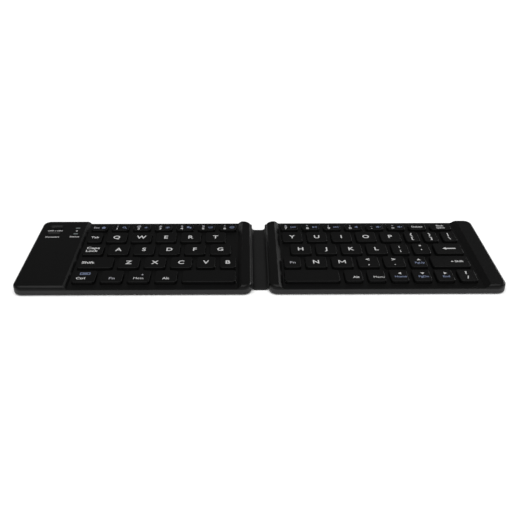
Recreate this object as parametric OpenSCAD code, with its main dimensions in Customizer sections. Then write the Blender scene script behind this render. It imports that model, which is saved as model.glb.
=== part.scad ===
// Pocket keyboard that folds in half. Two flat cases are joined by a soft hinge strip, and the left
// one ends in a raised panel with the switch, the connect button and the lights.
// X runs along the keyboard, Y from front to back and Z up, with the origin under the middle of the
// flat keyboard, on the table. It is drawn open.

/* [Case] */
// Plan radius of the case corners
corner_r = 5; // [4:0.5:8]
// Radius of the upper edge of the raised borders
edge_r = 1.8; // [0.8:0.1:2.2]
// Radius of the lower edge of the bottom shells
keel_r = 0.8; // [0.4:0.1:1.4]
// Thickness of the outer walls
wall = 1.2; // [1:0.1:1.6]
// Thickness of the floor of the bottom shells
floor_t = 0.8; // [0.7:0.05:1.2]
// Height of the side walls of the bottom shells, floor included
shell_h = 3.2; // [3:0.1:4]
// Height of the key deck above the parting line
deck_rise = 0.4; // [0.2:0.1:0.8]
// Thickness of the key deck
deck_t = 0.8; // [0.6:0.05:1]
// Height of the raised borders above the key deck
border_h = 2.3; // [2.3:0.1:3.5]
// Thickness of the roof over the raised panel, the hinge bars and the right border
roof_t = 1; // [0.8:0.1:1.2]
// Gap between pieces that are pushed together in the case
fit = 0.1; // [0.05:0.01:0.15]

/* [Raised borders] */
// Length of the raised panel on the left case
panel_w = 28.9; // [27:0.1:32]
// Length of the slope from the panel down to the deck
step_run = 2; // [0.4:0.1:2.4]
// Length of the raised border on the right case
border_w = 9.5; // [8:0.1:12]
// Length of the gentle slope from the right border down to the deck
bevel_run = 3.4; // [1:0.2:5]
// Length of the raised bar beside the hinge on each case
bar_w = 6.9; // [6.8:0.1:9]
// Length of the slope from a bar down to the deck
bar_run = 2.8; // [0.6:0.1:3.2]
// Flat deck between the foot of that slope and the first key
foot_gap = 1; // [0.6:0.1:2]
// Bare deck between a raised border and the first key
side_margin = 2.4; // [1:0.1:5]
// Bare deck between the panel's step and the first key
panel_margin = 1.8; // [1:0.1:5]
// Bare deck in front of the front row
front_margin = 5.4; // [3:0.1:8]
// Bare deck behind the back row
back_margin = 5.2; // [3:0.1:7]

/* [Keys] */
// Width of a letter key
key_w = 12.7; // [11.5:0.1:14]
// Depth of a key from front to back
key_d = 12.8; // [11.5:0.1:14]
// Gap between keys in a row
gap_x = 3; // [2.4:0.1:4]
// Gap between rows
gap_y = 3.1; // [2.4:0.1:4]
// Depth of the back row's keys
digit_d = 7.6; // [6.6:0.1:10]
// Width of a digit key
digit_w = 11; // [10:0.1:12]
// Width of the escape key
esc_w = 10.1; // [9:0.1:12]
// Width of the tab key and of the bracket keys
tab_w = 8.85; // [8:0.05:10]
// Width of the caps lock key
caps_w = 12.35; // [11:0.05:14]
// Width of the left shift key
shift_w = 20.75; // [18:0.05:23]
// Width of the control key
ctrl_w = 13.15; // [12:0.05:15]
// Width of the narrower V key
v_w = 11; // [10:0.1:12]
// Bare deck right of the T key
t_margin = 6.95; // [3:0.05:9]
// Width of the semicolon and quote keys
quote_w = 10.3; // [9:0.05:11]
// Width of the two narrow keys beside the right letters of the fourth row
narrow_w = 9.95; // [9:0.05:11]
// Width of the small keys in the right front row
small_w = 10.3; // [9.5:0.05:11]
// Shift of the right digit, Y, H and N rows from the first key edge
digit_in = 0.2; // [0:0.05:1]
y_in = 0.65; // [0:0.05:2]
h_in = 5.05; // [3:0.05:7]
n_in = 0.3; // [0:0.05:1]
// Plan radius of the key corners
key_r = 1.8; // [1.2:0.1:2.6]
// Radius of the upper edge of a key
key_edge_r = 0.4; // [0.2:0.05:0.8]
// Height of the key tops above the deck
key_rise = 1.95; // [1.8:0.05:2.2]
// Thickness of the top of a key cap
cap_t = 1; // [0.8:0.05:1.1]
// Thickness of the skirt of a key cap
skirt_t = 0.8; // [0.6:0.05:1]
// How far a key goes down
travel = 1.5; // [1:0.05:1.5]
// Gap between a key and the edge of its opening
key_gap = 0.2; // [0.15:0.01:0.35]

/* [Key switches] */
// Thickness of the metal support plate
plate_t = 0.3; // [0.2:0.02:0.3]
// Thickness of the membrane
membrane_t = 0.2; // [0.15:0.01:0.2]
// Radius of the foot and of the top of a rubber dome
dome_r = 2.3; // [1.8:0.1:2.5]
dome_top_r = 1.4; // [0.8:0.1:1.6]

/* [Hinge] */
// Gap between the two cases when open
hinge_gap = 10; // [9.6:0.1:12]
// Gap between the raised borders when folded shut
shut_gap = 0.3; // [0.2:0.05:0.6]
// Distance of each fold line from the end of its case
fold_in = 0.9; // [0.8:0.05:1.2]
// Thickness of the soft strip
strip_t = 0.8; // [0.7:0.05:1]
// Height of the middle of the strip above the table
strip_z = 0.35; // [0.3:0.05:0.6]
// How far the strip's ends stop short of the case's front and back
strip_front_in = 5.2; // [3:0.1:7]
strip_back_in = 3.3; // [2:0.1:5]
// Depth of the strip's edge in the groove of the case
tuck = 2; // [1.4:0.1:2.2]
// Thickness and width of the flex cable in the strip
flex_t = 0.2; // [0.15:0.01:0.22]
flex_w = 12; // [8:0.5:20]

/* [Panel parts] */
// Length of the slider's and of the connect button's pocket
pocket_w = 10.8; // [10.4:0.1:12]
// Flat part of the pockets from front to back
slider_floor_d = 4.3; // [3.8:0.1:4.6]
button_floor_d = 3.3; // [3:0.1:3.6]
// Width of the slope round the back and the sides of the pockets
pocket_slope = 1.6; // [0.8:0.1:1.8]
// Distance of the pockets' middle from the left end
pocket_in = 10; // [8.4:0.1:10.6]
// Distance of the slider and of the button from the back
slider_in = 10.4; // [9.4:0.1:10.8]
button_in = 18.55; // [18.4:0.05:20]
// How deep the pockets are sunk in the panel
pocket_h = 0.9; // [0.6:0.05:1]
// Travel of the power slider
slider_travel = 2; // [1:0.1:2.4]
// Travel of the connect button
button_travel = 0.4; // [0.25:0.05:0.5]
// Length and width of the windows of the lights
window_w = 2.8; // [2:0.1:3.2]
window_d = 1.3; // [0.8:0.1:1.6]
// Distance of the windows from the panel's step
window_in = 4.9; // [4.2:0.1:6]
// Distance of the charge window and of the status window from the back
charge_in = 10.5; // [9.2:0.1:12]
status_in = 18.3; // [17:0.1:20]
// Distance of the charging socket's middle from the panel's step
socket_in = 6.8; // [6.4:0.1:7]
// Width and height of the charging socket
socket_w = 7.5; // [7:0.1:8]
socket_h = 2.4; // [2:0.1:2.5]
// Length of the charging socket
socket_l = 5.6; // [5:0.1:6]
// Thickness of the circuit board
board_t = 0.8; // [0.6:0.05:1]
// Length of the circuit board from front to back
board_d = 28; // [26:0.5:32]
// Length and thickness of the battery
cell_d = 34; // [28:0.5:36]
cell_h = 3; // [2:0.1:3.4]

/* [Feet, screws and magnets] */
// Thickness of the rubber feet
foot_t = 0.6; // [0.5:0.05:1]
// Length and width of a foot
foot_l = 16; // [10:0.5:20]
foot_w = 4; // [3:0.1:5]
// Distance of the feet's middle from the ends and from the front and back of a case
foot_in_x = 15; // [13:0.5:20]
foot_in_y = 5; // [4:0.1:8]
// Radius of the screws' threads and heads
screw_r = 0.8; // [0.7:0.05:0.85]
screw_head_r = 1.5; // [1.2:0.05:1.6]
// Distance of the screws from the outer walls
screw_in = 4.2; // [4:0.1:4.8]
// Radius of the posts for the screws
post_r = 2; // [1.7:0.05:2.2]
// Length, width and thickness of the magnets that hold the cases shut
magnet_l = 20; // [12:0.5:24]
magnet_w = 4; // [3:0.1:4.5]
magnet_h = 1.5; // [1:0.1:2]

/* [Hidden] */
$fn = 48;
e = 0.01;
case_black = [0.09, 0.09, 0.1];
shell_grey = [0.2, 0.2, 0.21];
key_black = [0.07, 0.07, 0.08];
strip_grey = [0.14, 0.14, 0.15];
rubber_grey = [0.3, 0.3, 0.31];
steel = [0.7, 0.71, 0.72];
board_green = [0.08, 0.3, 0.16];
amber = [0.75, 0.5, 0.2];
pale = [0.8, 0.82, 0.84];

// Heights above the table
floor_z = foot_t + floor_t;
part_z = foot_t + shell_h;
deck_z = part_z + deck_rise;
under_z = deck_z - deck_t;
top_z = deck_z + border_h;
roof_z = top_z - roof_t;
plate_z = floor_z + plate_t;
membrane_z = plate_z + membrane_t;
key_z = deck_z + key_rise;
skirt_z = membrane_z + travel + fit;
dome_h = key_z - cap_t - travel - fit - membrane_z;

// Rows of keys from front to back, as the shift of the first key and the widths of the keys. A width
// of 0 takes what the row leaves free.
LEFT = [
    [0, [ctrl_w, key_w, key_w, key_w, 0]],
    [0, [shift_w, key_w, key_w, key_w, v_w, 0]],
    [0, [caps_w, key_w, key_w, key_w, key_w, key_w]],
    [0, [tab_w, key_w, key_w, key_w, key_w, key_w]],
    [0, [esc_w, digit_w, digit_w, digit_w, digit_w, digit_w, digit_w]]
];
RIGHT = [
    [0, [0, small_w, small_w, small_w, small_w, small_w, small_w]],
    [n_in, [narrow_w, key_w, key_w, key_w, key_w, narrow_w, 0]],
    [h_in, [key_w, key_w, key_w, key_w, quote_w, quote_w, 0]],
    [y_in, [key_w, key_w, key_w, key_w, key_w, tab_w, tab_w, 0]],
    [digit_in, [digit_w, digit_w, digit_w, digit_w, digit_w, digit_w, digit_w, 0]]
];
// Length of a row's set keys and gaps, where a free key is at least as wide as a bracket key
function sum_to(w, n) = n == 0 ? 0 : w[n - 1] + gap_x + sum_to(w, n - 1);
function row_need(r) = r[0] + sum_to(r[1], len(r[1])) - gap_x + (min(r[1]) == 0 ? tab_w : 0);
left_need = max(max([for (r = LEFT) row_need(r)]), row_need(LEFT[3]) + t_margin);
right_need = max([for (r = RIGHT) row_need(r)]);
// Each case is as long as the side with more on it
half_w = max(panel_w + step_run + panel_margin + left_need,
             border_w + bevel_run + side_margin + right_need) + side_margin + bar_w;
half_d = front_margin + 4 * (key_d + gap_y) + digit_d + back_margin;

inner_x = hinge_gap / 2;
outer_x = inner_x + half_w;
front_y = -half_d / 2;
back_y = half_d / 2;
bar_x = inner_x + bar_w;
first_x = bar_x + side_margin;
bar_foot = first_x - foot_gap;
bar_top = bar_foot - bar_run;
panel_x = outer_x - panel_w;
left_x = panel_x - step_run - panel_margin;
right_x = outer_x - border_w - bevel_run - side_margin;

// Left edge and width of a row's key, counted from the left
function span(left) = left ? left_x - first_x : right_x - first_x;
function free_w(r, left) = span(left) - r[0] - sum_to(r[1], len(r[1])) + gap_x;
function width(r, i, left) = r[1][i] == 0 ? free_w(r, left) : r[1][i];
function edge(r, i, left) = (left ? -left_x : first_x) + r[0] + sum_to(r[1], i)
    + (min(concat([1], [for (j = [0:1:i - 1]) r[1][j]])) == 0 ? free_w(r, left) : 0);
function row_y(row) = front_y + front_margin + row * (key_d + gap_y);
function row_d(row) = row == 4 ? digit_d : key_d;

// Fold lines: the two cases meet when each line has turned a quarter turn
fold_x = inner_x - fold_in;
fold_z = top_z + shut_gap / 2 - fold_x;
strip_front = front_y + strip_front_in;
strip_back = back_y - strip_back_in;
tuck_z = deck_z + 0.3;
drop_x = bar_x + 0.4;

// Panel: the board with its parts, and the pockets
pocket_x = -outer_x + pocket_in;
slider_y = back_y - slider_in;
button_y = back_y - button_in;
pocket_z = top_z - pocket_h;
block_z = pocket_z - roof_t;
window_x = -panel_x - window_in;
board_z = floor_z + 0.6;
board_top = board_z + board_t;
board_x0 = -outer_x + wall + fit + 0.4;
board_x1 = -panel_x - wall - 0.4;
board_y1 = back_y - wall - fit - 0.4;
board_y0 = board_y1 - board_d;
socket_x = -panel_x - socket_in;
screw_y = back_y - screw_in;
end_screw_x = outer_x - screw_in;
bar_screw_x = inner_x + bar_w / 2;
room_in = wall + fit;

echo(length = 2 * outer_x, depth = half_d, height = top_z, fold_x = fold_x, fold_z = fold_z);

// Flat shape with round corners
module round_rect(x0, x1, y0, y1, r) {
    translate([x0 + r, y0]) square([x1 - x0 - 2 * r, y1 - y0]);
    translate([x0, y0 + r]) square([x1 - x0, y1 - y0 - 2 * r]);
    for (x = [x0 + r, x1 - r], y = [y0 + r, y1 - r]) translate([x, y]) circle(r);
}

// Section from a to b and from 0 to h with two round upper corners
module arch(a, b, h, r) {
    translate([a, 0]) square([b - a, h - r]);
    translate([a + r, 0]) square([b - a - 2 * r, h]);
    for (x = [a + r, b - r]) translate([x, h - r]) intersection() {
        circle(r);
        translate([-r, 0]) square([2 * r, r]);
    }
}

// Plate from z0 to z1 with corner radius r in plan and edge radius f along the top
module soft_plate(x0, x1, y0, y1, z0, z1, r, f) {
    h = z1 - z0;
    translate([x0 + r, 0, z0]) rotate([90, 0, 90]) linear_extrude(x1 - x0 - 2 * r) arch(y0, y1, h, f);
    translate([0, y1 - r, z0]) rotate([90, 0, 0]) linear_extrude(y1 - y0 - 2 * r) arch(x0, x1, h, f);
    for (x = [x0 + r, x1 - r], y = [y0 + r, y1 - r]) translate([x, y, z0]) rotate_extrude() {
        square([r, h - f]);
        square([r - f, h]);
        translate([r - f, h - f]) intersection() {
            circle(f);
            square(f);
        }
    }
}

// Box between two corners
module block(a, b) {
    translate(a) cube(b - a);
}

// Puts one shape at the same place of both cases' front and back
module at_y(y) {
    for (s = [-1, 1]) translate([0, s * y, 0]) children();
}

// Keys first to last of a row, as caps that are open below
module caps(rows, row, first, last, left) {
    y = row_y(row);
    d = row_d(row);
    color(key_black) for (i = [first:last]) {
        x = edge(rows[row], i, left);
        w = width(rows[row], i, left);
        difference() {
            soft_plate(x, x + w, y, y + d, skirt_z, key_z, key_r, key_edge_r);
            translate([0, 0, skirt_z - e]) linear_extrude(key_z - cap_t - skirt_z + e)
                round_rect(x + skirt_t, x + w - skirt_t, y + skirt_t, y + d - skirt_t, key_r - skirt_t);
        }
    }
}
module left_caps(row, first, last) caps(LEFT, row, first, last, true);
module right_caps(row, first, last) caps(RIGHT, row, first, last, false);

// Outlines of all the openings of a deck
module openings(rows, left) {
    g = key_gap;
    for (row = [0:4], i = [0:len(rows[row][1]) - 1]) {
        x = edge(rows[row], i, left);
        y = row_y(row);
        round_rect(x - g, x + width(rows[row], i, left) + g, y - g, y + row_d(row) + g, key_r + g);
    }
}

// One rubber dome under the middle of each key
module domes(rows, left) {
    color(rubber_grey) for (row = [0:4], i = [0:len(rows[row][1]) - 1])
        translate([edge(rows[row], i, left) + width(rows[row], i, left) / 2,
                   row_y(row) + row_d(row) / 2, membrane_z])
            cylinder(h = dome_h, r1 = dome_r, r2 = dome_top_r);
}

// Space above the deck between two raised borders, with a slope of its own at each end
module deck_space(x0, run0, x1, run1) {
    translate([0, back_y + 1, 0]) rotate([90, 0, 0]) linear_extrude(half_d + 2)
        polygon([[x0 + run0, deck_z], [x1 - run1, deck_z], [x1, top_z], [x1, top_z + 1],
                 [x0, top_z + 1], [x0, top_z]]);
}

// Bottom shell of the right case, as a tray
module tray() {
    difference() {
        translate([0, 0, part_z + foot_t]) mirror([0, 0, 1])
            soft_plate(inner_x, outer_x, front_y, back_y, foot_t, part_z, corner_r, keel_r);
        translate([0, 0, floor_z]) linear_extrude(shell_h)
            round_rect(inner_x + wall, outer_x - wall, front_y + wall, back_y - wall, corner_r - wall);
        at_y(screw_y) for (x = [end_screw_x, bar_screw_x]) translate([x, 0, foot_t - e]) {
            cylinder(h = floor_t + 1, r = screw_r + fit);
            cylinder(h = floor_t - 0.2, r1 = screw_head_r + fit, r2 = screw_r + fit);
        }
        block([inner_x - 1, -flex_w / 2 - fit, part_z - flex_t - 1.2],
              [inner_x + wall + 1, flex_w / 2 + fit, part_z + 1]);
    }
}

// Blank of the right cover: raised plate and the rim that sits in the tray
module cover_blank() {
    soft_plate(inner_x, outer_x, front_y, back_y, part_z, top_z, corner_r, edge_r);
    translate([0, 0, under_z]) linear_extrude(part_z - under_z + e)
        round_rect(inner_x + room_in, outer_x - room_in, front_y + room_in, back_y - room_in,
                   corner_r - room_in);
}

// Hollow under a raised border between two end walls
module room(x0, x1, r) {
    translate([0, 0, under_z - 1]) linear_extrude(roof_z - under_z + 1)
        round_rect(x0, x1, front_y + room_in, back_y - room_in, r);
}

// Posts for the screws under a cover, and their holes
module posts(x) {
    at_y(screw_y) translate([x, 0, floor_z]) cylinder(h = roof_z - floor_z + e, r = post_r);
}
module post_holes(x) {
    at_y(screw_y) translate([x, 0, floor_z - 1]) cylinder(h = roof_z - floor_z + 0.7, r = screw_r + 0.05);
}

// Groove for the strip's edge, and room for the flex cable under it
module strip_groove() {
    block([inner_x - 1, strip_front - fit, tuck_z - fit],
          [inner_x + tuck + fit, strip_back + fit, tuck_z + strip_t + fit]);
    block([inner_x - 1, -flex_w / 2 - fit, under_z - 1],
          [bar_x + 1, flex_w / 2 + fit, part_z]);
}

module right_bottom_shell() color(shell_grey) tray();
module left_bottom_shell() color(shell_grey) {
    difference() {
        mirror([1, 0, 0]) tray();
        socket_cut();
    }
    for (x = [board_x0 + 2, board_x1 - 2], y = [board_y0 + 2, board_y1 - 7])
        translate([x, y, floor_z - e]) cylinder(h = board_z - floor_z + e, r = 1.2);
}

module right_top_cover() color(case_black) difference() {
    union() {
        difference() {
            cover_blank();
            deck_space(bar_top, bar_run, outer_x - border_w, bevel_run);
            room(inner_x + tuck + 1, bar_top - 0.2, 0.8);
            room(outer_x - border_w + 0.6, outer_x - room_in, border_w * 0.36);
        }
        posts(bar_screw_x);
        posts(end_screw_x);
    }
    post_holes(bar_screw_x);
    post_holes(end_screw_x);
    strip_groove();
    translate([0, 0, under_z - 1]) linear_extrude(deck_t + 2) openings(RIGHT, false);
}

module left_top_cover() color(case_black) difference() {
    union() {
        difference() {
            mirror([1, 0, 0]) cover_blank();
            deck_space(-panel_x, step_run, -bar_top, bar_run);
            mirror([1, 0, 0]) room(inner_x + tuck + 1, bar_top - 0.2, 0.8);
            room(-outer_x + room_in, -panel_x - wall, corner_r - room_in);
        }
        mirror([1, 0, 0]) posts(bar_screw_x);
        mirror([1, 0, 0]) posts(end_screw_x);
        pocket_blocks();
    }
    mirror([1, 0, 0]) {
        post_holes(bar_screw_x);
        post_holes(end_screw_x);
        strip_groove();
    }
    translate([0, 0, under_z - 1]) linear_extrude(deck_t + 2) openings(LEFT, true);
    pockets();
    for (y = [charge_y(), status_y()]) translate([0, 0, roof_z - 1]) linear_extrude(roof_t + 2)
        window(y, 0.05);
    socket_cut();
}

// Thicker roof under the two pockets
module pocket_blocks() {
    block([pocket_x - pocket_w / 2 - 0.6, button_y - button_floor_d / 2 - 0.8, block_z],
          [pocket_x + pocket_w / 2 + 0.6, slider_y + slider_floor_d / 2 + pocket_slope, roof_z + e]);
}

// The pockets with the slider's slot and the button's hole
module pockets() {
    dish(slider_y, slider_floor_d);
    dish(button_y, button_floor_d);
    block([pocket_x - slider_travel / 2 - 1.2 - fit, slider_y - 0.7 - fit, block_z - 1],
          [pocket_x + slider_travel / 2 + 1.2 + fit, slider_y + 0.7 + fit, pocket_z + 1]);
    translate([0, 0, block_z - 1]) linear_extrude(pocket_z - block_z + 2) button_outline(0.15);
}

// Pocket with a flat floor, an upright front and slopes at the back and the sides
module dish(y, d) {
    a = pocket_x - pocket_w / 2;
    b = pocket_x + pocket_w / 2;
    front = y - d / 2;
    back = y + d / 2 + pocket_slope;
    r = pocket_slope + 1;
    over = 0.25; // share of the depth that the slopes go on above the panel
    h = pocket_h * (1 + over);
    s = pocket_slope * over;
    translate([0, back - r, pocket_z]) rotate([90, 0, 0]) linear_extrude(back - r - front)
        polygon([[a + pocket_slope, 0], [b - pocket_slope, 0], [b + s, h], [a - s, h]]);
    translate([a + r, 0, pocket_z]) rotate([90, 0, 90]) linear_extrude(b - a - 2 * r)
        polygon([[back - r - e, 0], [back - pocket_slope, 0], [back + s, h], [back - r - e, h]]);
    for (x = [a + r, b - r]) translate([x, back - r, pocket_z]) cylinder(h = h, r1 = 1, r2 = r + s);
}
module button_outline(g) {
    round_rect(pocket_x - 2.6 - g, pocket_x + 2.6 + g, button_y - 1.2 - g, button_y + 1.2 + g, 1.1 + g);
}

function charge_y() = back_y - charge_in;
function status_y() = back_y - status_in;
module window(y, g) {
    round_rect(window_x - window_w / 2 - g, window_x + window_w / 2 + g,
               y - window_d / 2 - g, y + window_d / 2 + g, 0.3);
}

// Cut in the back wall for the charging socket
module socket_cut() {
    block([socket_x - socket_w / 2 - 0.3, back_y - wall - 1, board_top - 0.1],
          [socket_x + socket_w / 2 + 0.3, back_y + 1, board_top + socket_h + 0.2]);
}

// Flex print under the domes, and the metal plate under it
module sheet(x0, x1, z0, z1, extra) {
    translate([0, 0, z0]) linear_extrude(z1 - z0)
        round_rect(x0 - extra, x1 + extra, row_y(0) - extra, row_y(4) + digit_d + extra, 1);
}
module left_support_plate() color(steel) sheet(-left_x, -first_x, floor_z, plate_z, 1);
module right_support_plate() color(steel) sheet(first_x, right_x, floor_z, plate_z, 1);
module left_membrane() color(amber) {
    sheet(-left_x, -first_x, plate_z, membrane_z, 0.6);
    block([board_x1 - 3, board_y0 + 6, plate_z], [1 - left_x, board_y0 + 6 + flex_w, membrane_z]);
}
module right_membrane() color(amber) sheet(first_x, right_x, plate_z, membrane_z, 0.6);
module left_rubber_domes() domes(LEFT, true);
module right_rubber_domes() domes(RIGHT, false);

// Rubber feet of the right case
module feet() {
    color(rubber_grey) at_y(back_y - foot_in_y) for (x = [inner_x + foot_in_x, outer_x - foot_in_x])
        linear_extrude(foot_t)
            round_rect(x - foot_l / 2, x + foot_l / 2, -foot_w / 2, foot_w / 2, foot_w / 2 - 0.2);
}
module right_feet() feet();
module left_feet() mirror([1, 0, 0]) feet();

// Countersunk screws of the right case, with a cross slot
module screws() {
    color(steel) at_y(screw_y) for (x = [end_screw_x, bar_screw_x]) translate([x, 0, foot_t])
        difference() {
            union() {
                cylinder(h = floor_t - 0.2, r1 = screw_head_r, r2 = screw_r);
                cylinder(h = roof_z - foot_t - 0.5, r = screw_r);
            }
            for (a = [0, 90]) rotate(a) block([-screw_head_r * 0.6, -0.15, -1], [screw_head_r * 0.6, 0.15, 0.35]);
        }
}
module right_screws() screws();
module left_screws() mirror([1, 0, 0]) screws();

// Magnets held under the roof at the outer ends
module magnet() {
    color(steel) block([outer_x - room_in - fit - magnet_w, -magnet_l / 2, roof_z - magnet_h],
                       [outer_x - room_in - fit, magnet_l / 2, roof_z]);
}
module right_magnet() magnet();
module left_magnet() mirror([1, 0, 0]) magnet();

// Board with one corner cut away for the screw post
module main_board() color(board_green) difference() {
    block([board_x0, board_y0, board_z], [board_x1, board_y1, board_top]);
    block([board_x0 - 1, screw_y - post_r - 0.3, board_z - 1],
          [post_r + 0.3 - end_screw_x, board_y1 + 1, board_top + 1]);
}
module battery() color(steel)
    soft_plate(-outer_x + room_in + magnet_w + 0.8, board_x1, board_y0 - 1 - cell_d, board_y0 - 1,
               floor_z, floor_z + cell_h, 1, 0.5);

module usb_socket() color(steel) {
    h = socket_h;
    y = back_y - 0.4;
    difference() {
        block([socket_x - socket_w / 2, y - socket_l, board_top], [socket_x + socket_w / 2, y, board_top + h]);
        block([socket_x - socket_w / 2 + 0.3, y - socket_l + 0.6, board_top + 0.3],
              [socket_x + socket_w / 2 - 0.3, y + 1, board_top + h - 0.3]);
    }
    block([socket_x - socket_w / 4, y - socket_l + 0.5, board_top + h * 0.4],
          [socket_x + socket_w / 4, y - 0.8, board_top + h * 0.6]);
}

// Slide switch on the board with a slot for the knob's tip
module slide_switch() color(pale) difference() {
    block([pocket_x - 3.6, slider_y - 1.6, board_top], [pocket_x + 3.6, slider_y + 1.6, block_z - 0.5]);
    block([pocket_x - slider_travel / 2 - 1 - fit, slider_y - 0.5 - fit, board_top + 0.4],
          [pocket_x + slider_travel / 2 + 1 + fit, slider_y + 0.5 + fit, block_z]);
}

// Knob with ribs on top and a tip that reaches into the switch, drawn at ON
module power_slider() {
    x = pocket_x + slider_travel / 2;
    color(key_black) {
        difference() {
            block([x - 2.2, slider_y - 1.5, pocket_z + 0.05], [x + 2.2, slider_y + 1.5, top_z - 0.1]);
            for (k = [-2:2]) block([x + k * 0.8 - 0.15, slider_y - 2, top_z - 0.35],
                                   [x + k * 0.8 + 0.15, slider_y + 2, top_z]);
        }
        block([x - 1.2, slider_y - 0.7, block_z + 0.1], [x + 1.2, slider_y + 0.7, pocket_z + 0.1]);
        block([x - 1, slider_y - 0.5, board_top + 0.6], [x + 1, slider_y + 0.5, block_z + 0.2]);
    }
}

// Button that stands in its pocket, with a flange that keeps it in
module connect_button() color(key_black) {
    translate([0, 0, block_z - 0.1]) linear_extrude(top_z - 0.35 - block_z + 0.1) button_outline(0);
    block([pocket_x - 3.2, button_y - 1.6, block_z - 0.6], [pocket_x + 3.2, button_y + 1.6, block_z - 0.05]);
}
module tact_switch() color(pale) {
    block([pocket_x - 1.8, button_y - 1.5, board_top], [pocket_x + 1.8, button_y + 1.5, tact_z() - 0.3]);
    translate([pocket_x, button_y, tact_z() - 0.4]) cylinder(h = 0.4, r = 0.8);
}
function tact_z() = block_z - 0.65 - button_travel;

module led_windows() color(pale) for (y = [charge_y(), status_y()])
    translate([0, 0, led_z() + 0.2]) linear_extrude(top_z - led_z() - 0.2) window(y, 0);
module led_chips() color("white") for (y = [charge_y(), status_y()])
    block([window_x - 0.8, y - 0.4, board_top], [window_x + 0.8, y + 0.4, led_z()]);
function led_z() = board_top + 0.6;

// The strip is one moulding. Its two leaves hug the ends of the cases, and its middle folds with them.
module leaf() {
    x = inner_x;
    color(strip_grey) difference() {
        union() {
            block([x - strip_t, strip_front, strip_z + strip_t], [x, strip_back, tuck_z + strip_t]);
            block([x - e, strip_front, tuck_z], [x + tuck, strip_back, tuck_z + strip_t]);
        }
        flex_path(fit);
    }
}
module hinge_strip_right() leaf();
module hinge_strip_left() mirror([1, 0, 0]) leaf();
module hinge_strip_middle() color(strip_grey) difference() {
    block([-middle_x(), strip_front, strip_z], [middle_x(), strip_back, strip_z + strip_t]);
    block([-inner_x, -flex_w / 2 - fit, strip_z + strip_t / 2 - flex_t / 2 - fit / 2],
          [inner_x, flex_w / 2 + fit, strip_z + strip_t / 2 + flex_t / 2 + fit / 2]);
}
function middle_x() = inner_x - strip_t - 0.25;

// Way of the flex cable from the right case down through the leaf
module flex_path(g) {
    x = inner_x - strip_t / 2;
    z = part_z - 0.6;
    w = flex_w / 2 + g;
    t = flex_t / 2 + g / 2;
    block([x - t, -w, strip_z + strip_t - (g > 0 ? 1 : 0)], [x + t, w, z + t]);
    block([x - t, -w, z - t], [drop_x, w, z + t]);
    block([drop_x - flex_t, -w, plate_z], [drop_x, w, z + t]);
    block([drop_x - flex_t, -w, plate_z], [first_x - 0.6, w, plate_z + flex_t]);
}
module flex_cable_right() color(amber) flex_path(0);
module flex_cable_left() mirror([1, 0, 0]) color(amber) flex_path(0);
module flex_cable_middle() color(amber)
    block([-middle_x(), -flex_w / 2, strip_z + strip_t / 2 - flex_t / 2],
          [middle_x(), flex_w / 2, strip_z + strip_t / 2 + flex_t / 2]);

module key_ctrl() left_caps(0, 0, 0);
module key_left_fn() left_caps(0, 1, 1);
module key_super() left_caps(0, 2, 2);
module key_left_alt() left_caps(0, 3, 3);
module key_left_space() left_caps(0, 4, 4);
module key_left_shift() left_caps(1, 0, 0);
module keys_z_to_b() left_caps(1, 1, 5);
module key_caps_lock() left_caps(2, 0, 0);
module keys_a_to_g() left_caps(2, 1, 5);
module key_tab() left_caps(3, 0, 0);
module keys_q_to_t() left_caps(3, 1, 5);
module key_escape() left_caps(4, 0, 0);
module keys_1_to_6() left_caps(4, 1, 6);
module key_right_space() right_caps(0, 0, 0);
module key_right_alt() right_caps(0, 1, 1);
module key_menu() right_caps(0, 2, 2);
module key_home() right_caps(0, 3, 3);
module key_page_down() right_caps(0, 4, 4);
module key_end() right_caps(0, 5, 5);
module key_question() right_caps(0, 6, 6);
module key_right_fn() right_caps(1, 0, 0);
module keys_n_to_period() right_caps(1, 1, 4);
module key_page_up() right_caps(1, 5, 5);
module key_right_shift() right_caps(1, 6, 6);
module keys_h_to_quote() right_caps(2, 0, 5);
module key_enter() right_caps(2, 6, 6);
module keys_y_to_backslash() right_caps(3, 0, 7);
module keys_7_to_delete() right_caps(4, 0, 6);
module key_backspace() right_caps(4, 7, 7);

left_bottom_shell();
left_top_cover();
left_support_plate();
left_membrane();
left_rubber_domes();
left_feet();
left_screws();
left_magnet();
right_bottom_shell();
right_top_cover();
right_support_plate();
right_membrane();
right_rubber_domes();
right_feet();
right_screws();
right_magnet();
main_board();
battery();
usb_socket();
power_slider();
slide_switch();
connect_button();
tact_switch();
led_windows();
led_chips();
hinge_strip_left();
hinge_strip_middle();
hinge_strip_right();
flex_cable_left();
flex_cable_middle();
flex_cable_right();
key_ctrl();
key_left_fn();
key_super();
key_left_alt();
key_left_space();
key_left_shift();
keys_z_to_b();
key_caps_lock();
keys_a_to_g();
key_tab();
keys_q_to_t();
key_escape();
keys_1_to_6();
key_right_space();
key_right_alt();
key_menu();
key_home();
key_page_down();
key_end();
key_question();
key_right_fn();
keys_n_to_period();
key_page_up();
key_right_shift();
keys_h_to_quote();
key_enter();
keys_y_to_backslash();
keys_7_to_delete();
key_backspace();
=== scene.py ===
# %% [markdown]
# # A folding pocket keyboard
# Two flat cases of black plastic lie open, joined by a soft hinge strip. The left case ends in
# a raised panel with a power slider, a connect button and two small windows, and 67 keys sit in
# the decks. This lesson loads the measured frame, sets the camera, the floor and the light,
# then makes the finishes, the key caps, the printed legends and the hinge strip.

import math

import bpy
import numpy as np
from mathutils import Matrix, Vector


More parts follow.
